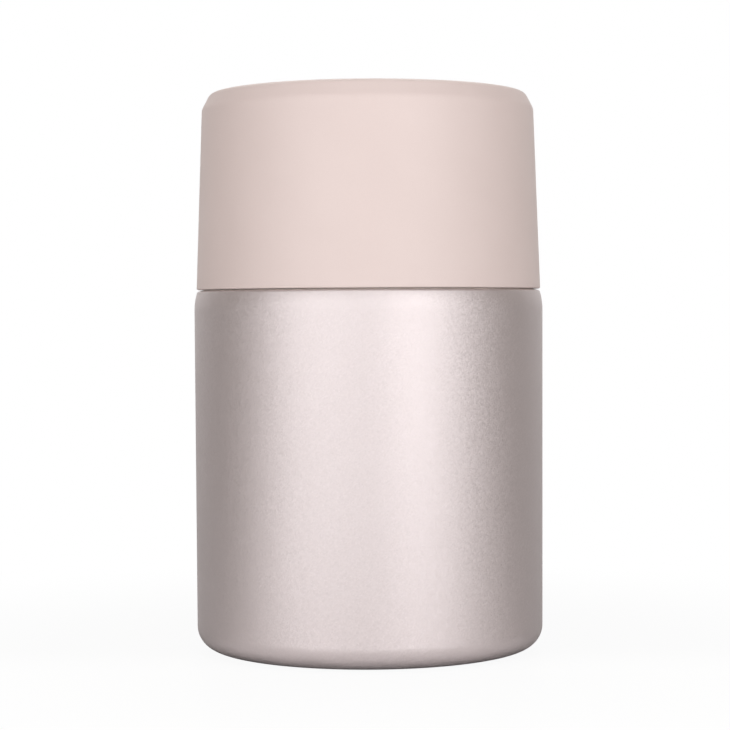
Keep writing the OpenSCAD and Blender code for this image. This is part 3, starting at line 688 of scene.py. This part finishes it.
# ---- Soft rings ----
# Silicone rings seal the mouth, the shoulder and the vent. Each is a loose piece that can be
# pulled off and washed, except the bush, which is pressed into the stopper.
silicone = moulded(
    "silicone", (0.78, 0.69, 0.63), (0.85, 0.76, 0.70), 0.5, grain=0.0005, depth=0.00002,
    extra={"Subsurface Weight": 0.25, "Subsurface Radius": (0.6, 0.55, 0.5), "Subsurface Scale": 0.002})
gasket_inner, gasket_under, gasket_top, gasket_edge = 34.5, 114.3, 116.3, 0.4
notch_half, notch_depth = 0.2, 0.3
inner, outer = gasket_inner + gasket_edge, flange_radius - gasket_edge
low, middle, high = gasket_under + gasket_edge, (gasket_under + gasket_top) / 2, gasket_top - gasket_edge
stopper_gasket = turn(
    "stopper_gasket_ring",
    [*bend(inner, low, gasket_edge, 180, 270, 4), *bend(outer, low, gasket_edge, 270, 360, 4),
     (flange_radius, middle - notch_half), (flange_radius - notch_depth, middle),
     (flange_radius, middle + notch_half),
     *bend(outer, high, gasket_edge, 0, 90, 4), *bend(inner, high, gasket_edge, 90, 180, 4)],
    silicone, sharp=60)
fit(stopper_gasket, "stopper_gasket", "silicone", "stopper_gasket")

# a rib on the seal clips into the lid's groove, and a thin lip lies on the shoulder
seal_inner, seal_outer, seal_under, seal_top, seal_edge = 39.5, 42.5, 92.3, 93.8, 0.3
rib_inner, rib_outer, rib_top, rib_edge = 40.6, 41.4, 94.4, 0.2
lip_root, lip_reach, lip_under, lip_half, lip_fillet = 42.4, 43.5, 92.22, 0.07, 0.2
lid_seal = turn(
    "lid_seal_ring",
    [*bend(seal_inner + seal_edge, seal_under + seal_edge, seal_edge, 180, 270, 4),
     (lip_root, seal_under),
     *bend(lip_reach - lip_half, lip_under + lip_half, lip_half, 270, 450, 6),
     *bend(seal_outer + lip_fillet, lip_under + 2 * lip_half + lip_fillet, lip_fillet, 270, 180, 4),
     (seal_outer, seal_top - seal_edge), (seal_outer - seal_edge, seal_top), (rib_outer, seal_top),
     *bend(rib_outer - rib_edge, rib_top - rib_edge, rib_edge, 0, 90, 3),
     *bend(rib_inner + rib_edge, rib_top - rib_edge, rib_edge, 90, 180, 3),
     (rib_inner, seal_top), (seal_inner + seal_edge, seal_top), (seal_inner, seal_top - seal_edge)],
    silicone, sharp=60)
fit(lid_seal, "lid_seal", "silicone", "lid_seal")
wear("vent_bush", silicone)


# ---- Vent ----
# A button in the grip lifts a steel valve stem off the underside of the stopper, which lets the
# air in before the jar is opened. A small coil spring pushes the button up again.
button_radius, button_under, button_top, button_wall = 7.0, 125.3, 131.6, 0.9
ceiling_height, socket_bore = 129.8, 2.05
thumb_dish = [(5.2, 0.0), (4.4, 0.12), (3.4, 0.3), (2.2, 0.46), (1.0, 0.54), (0.0, 0.56)]
button_white = moulded("button plastic", (0.80, 0.78, 0.755), (0.88, 0.86, 0.835), 0.36)
vent_button = turn(
    "vent_button_cap",
    [(0.0, ceiling_height), (socket_bore, ceiling_height), (socket_bore, button_under),
     (socket_bore + button_wall, button_under), (socket_bore + button_wall, ceiling_height),
     (button_radius - button_wall, ceiling_height), (button_radius - button_wall, button_under),
     (button_radius, button_under),
     *bend(button_radius - button_wall, button_top - button_wall, button_wall, 0, 90),
     *[(radius, button_top - deep) for radius, deep in thumb_dish]],
    button_white, closed=False, steps=96)
fit(vent_button, "vent", "cup_plastic", "vent_button")

valve_radius, stem_radius, stem_top, stem_chamfer = 5.0, 2.0, 129.75, 0.4
valve_under, valve_top, valve_bend = 86.4, 87.8, 0.7
washer_bore, washer_top, washer_edge = 2.05, 89.1, 0.3
washer_round = valve_radius - washer_edge
vent_seal = turn(
    "vent_seal_washer",
    [(washer_bore, valve_top), *bend(washer_round, valve_top + washer_edge, washer_edge, 270, 360, 4),
     *bend(washer_round, washer_top - washer_edge, washer_edge, 0, 90, 4), (washer_bore, washer_top)],
    silicone, steps=96, sharp=60)
fit(vent_seal, "vent", "silicone", "vent_seal")
vent_stem = turn(
    "vent_stem_valve",
    [(0.0, valve_under),
     *bend(valve_radius - valve_bend, valve_under + valve_bend, valve_bend, 270, 360, 6),
     (valve_radius, valve_top), (stem_radius, valve_top), (stem_radius, stem_top - stem_chamfer),
     (stem_radius - stem_chamfer, stem_top), (0.0, stem_top)],
    liner_steel, closed=False, steps=96)
fit(vent_stem, "vent", "bare_steel", "vent_stem")


def spring_tree():
    """Winds round wire into a coil spring whose first and last turns lie closed."""
    tree, given = new_tree(
        "coil spring", Coil_radius="Float", Wire_radius="Float", Turns="Float", Low_end="Float",
        High_end="Float", Closed_rise="Float", Finish="Material")
    reckon = partial(calc, tree)
    line = put(tree, "GeometryNodeCurvePrimitiveLine").outputs[0]
    line = put(tree, "GeometryNodeResampleCurve", {0: line, "Count": 301}).outputs[0]
    along = put(tree, "GeometryNodeSplineParameter").outputs["Factor"]
    turned = reckon("MULTIPLY", along, given["Turns"])
    last = reckon("SUBTRACT", given["Turns"], 1.0)
    first_turn = reckon("MINIMUM", turned, 1.0)
    last_turn = reckon("MAXIMUM", reckon("SUBTRACT", turned, last), 0.0)
    closed = reckon("MULTIPLY", reckon("ADD", first_turn, last_turn), given["Closed rise"])
    free = reckon("SUBTRACT", reckon("SUBTRACT", given["High end"], given["Low end"]),
                  reckon("MULTIPLY", given["Closed rise"], 2.0))
    opened = between(tree, turned, 0.0, free, 1.0, last)
    angle = reckon("MULTIPLY", turned, math.tau)
    spot = put(tree, "ShaderNodeCombineXYZ", {
        0: reckon("MULTIPLY", given["Coil radius"], reckon("COSINE", angle)),
        1: reckon("MULTIPLY", given["Coil radius"], reckon("SINE", angle)),
        2: reckon("ADD", given["Low end"], reckon("ADD", closed, opened)),
    }).outputs[0]
    coil = put(tree, "GeometryNodeSetPosition", {0: line, "Position": spot}).outputs[0]
    coil = put(tree, "GeometryNodeSetCurveNormal", {0: coil}, mode="Z_UP").outputs[0]
    round_wire = {"Resolution": 16, "Radius": given["Wire radius"]}
    wire = put(tree, "GeometryNodeCurvePrimitiveCircle", round_wire).outputs[0]
    swept = {"Curve": coil, "Profile Curve": wire, "Fill Caps": True}
    coil = put(tree, "GeometryNodeCurveToMesh", swept).outputs[0]
    coil = put(tree, "GeometryNodeSetShadeSmooth", {0: coil}).outputs[0]
    return close_tree(tree, coil, given["Finish"])


vent_spring = bpy.data.objects.new("vent_coil_spring", bpy.data.meshes.new("vent_coil_spring"))
scene.collection.objects.link(vent_spring)
apply_tree(vent_spring, spring_tree(), {
    "Coil radius": 0.004525, "Wire radius": 0.00035, "Turns": 5.0, "Low end": 0.1234, "High end": 0.1294,
    "Closed rise": 0.00075, "Finish": liner_steel})
settle(vent_spring).set_sharp_from_angle(angle=math.radians(50))
fit(vent_spring, "stopper", "bare_steel", "vent_spring")
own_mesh(vent_spring)


# ---- Lid cup ----
# White plastic cup inside the lid, with the thread that grips the neck. Its flange is welded into
# the lid's outer shell, and a groove in the flange holds the seal.
cup_wall, cup_top, cup_bend, cup_shoulder = 1.6, 133.6, 5.0, 37.9
cup_radius, cup_under, straight_top = 39.5, 93.9, 108.9
groove_inner, groove_outer, groove_top = 40.3, 41.7, 94.7
rim_radius, rim_top = 43.05, 95.45
cup_bend_radius, cup_bend_height = cup_shoulder - cup_bend, cup_top - cup_bend
cup_white = moulded("cup plastic", (0.80, 0.775, 0.75), (0.87, 0.845, 0.82), 0.34)
lid_liner = turn(
    "lid_cup",
    [(0.0, cup_top), *bend(cup_bend_radius, cup_bend_height, cup_bend, 90, 0, 14),
     (cup_radius, straight_top), (cup_radius, cup_under), (groove_inner, cup_under),
     (groove_inner, groove_top), (groove_outer, groove_top), (groove_outer, cup_under),
     (rim_radius, cup_under), (rim_radius, rim_top), (cup_radius + cup_wall, rim_top),
     (cup_radius + cup_wall, straight_top),
     *bend(cup_bend_radius, cup_bend_height, cup_bend + cup_wall, 0, 90, 14), (0.0, cup_top + cup_wall)],
    cup_white, closed=False,
    worked=[thread(cup_radius, start=97.118, height=-thread_height, material=cup_white)])
fit(lid_liner, "lid", "cup_plastic", "lid_liner")
wear("lid_insulation", foam)


# ---- Lid shell ----
# Pale pink plastic with a fine matte grain, moulded with a slight draft and a narrow sloped edge
# round its flat top.
lid_top = round(1000 * cad_box[1][2], 2)
lid_radius, lid_under, lid_edge = 44.4, 92.6, 0.4
corner_radius, corner_height, corner_bend = 42.8, 138.8, 3.0
crown_radius, crown_bend = 40.6, 2.0
lid_wall, lid_roof, inner_crown, inner_corner = 1.8, 2.2, 39.72, 138.357
ledge_radius, ledge_height, ledge_gap = 42.6, 95.5, 0.05
slope = math.degrees(math.atan2(lid_top - corner_height, corner_radius - crown_radius))
low_bend = corner_height - corner_bend * math.tan(math.radians((90 - slope) / 2))
top_bend = crown_radius - crown_bend * math.tan(math.radians(slope / 2))
lid_pink = moulded(
    "lid plastic", (0.796, 0.676, 0.654), (0.830, 0.709, 0.687), 0.46, grain=0.0003, depth=0.00002,
    patch=0.02, extra={"Specular IOR Level": 0.35})
lid_shell = turn(
    "lid_shell_moulding",
    [(0.0, lid_top - lid_roof), (inner_crown, lid_top - lid_roof),
     (corner_radius - lid_wall, inner_corner), (ledge_radius, ledge_height),
     (rim_radius + ledge_gap, ledge_height), (rim_radius + ledge_gap, lid_under),
     *bend(lid_radius - lid_edge, lid_under + lid_edge, lid_edge, 270, 360, 6),
     *bend(corner_radius - corner_bend, low_bend, corner_bend, 0, 90 - slope),
     *bend(top_bend, lid_top - crown_bend, crown_bend, 90 - slope, 90), (0.0, lid_top)],
    lid_pink, closed=False, steps=256)
fit(lid_shell, "lid", "lid_plastic", "lid_shell")
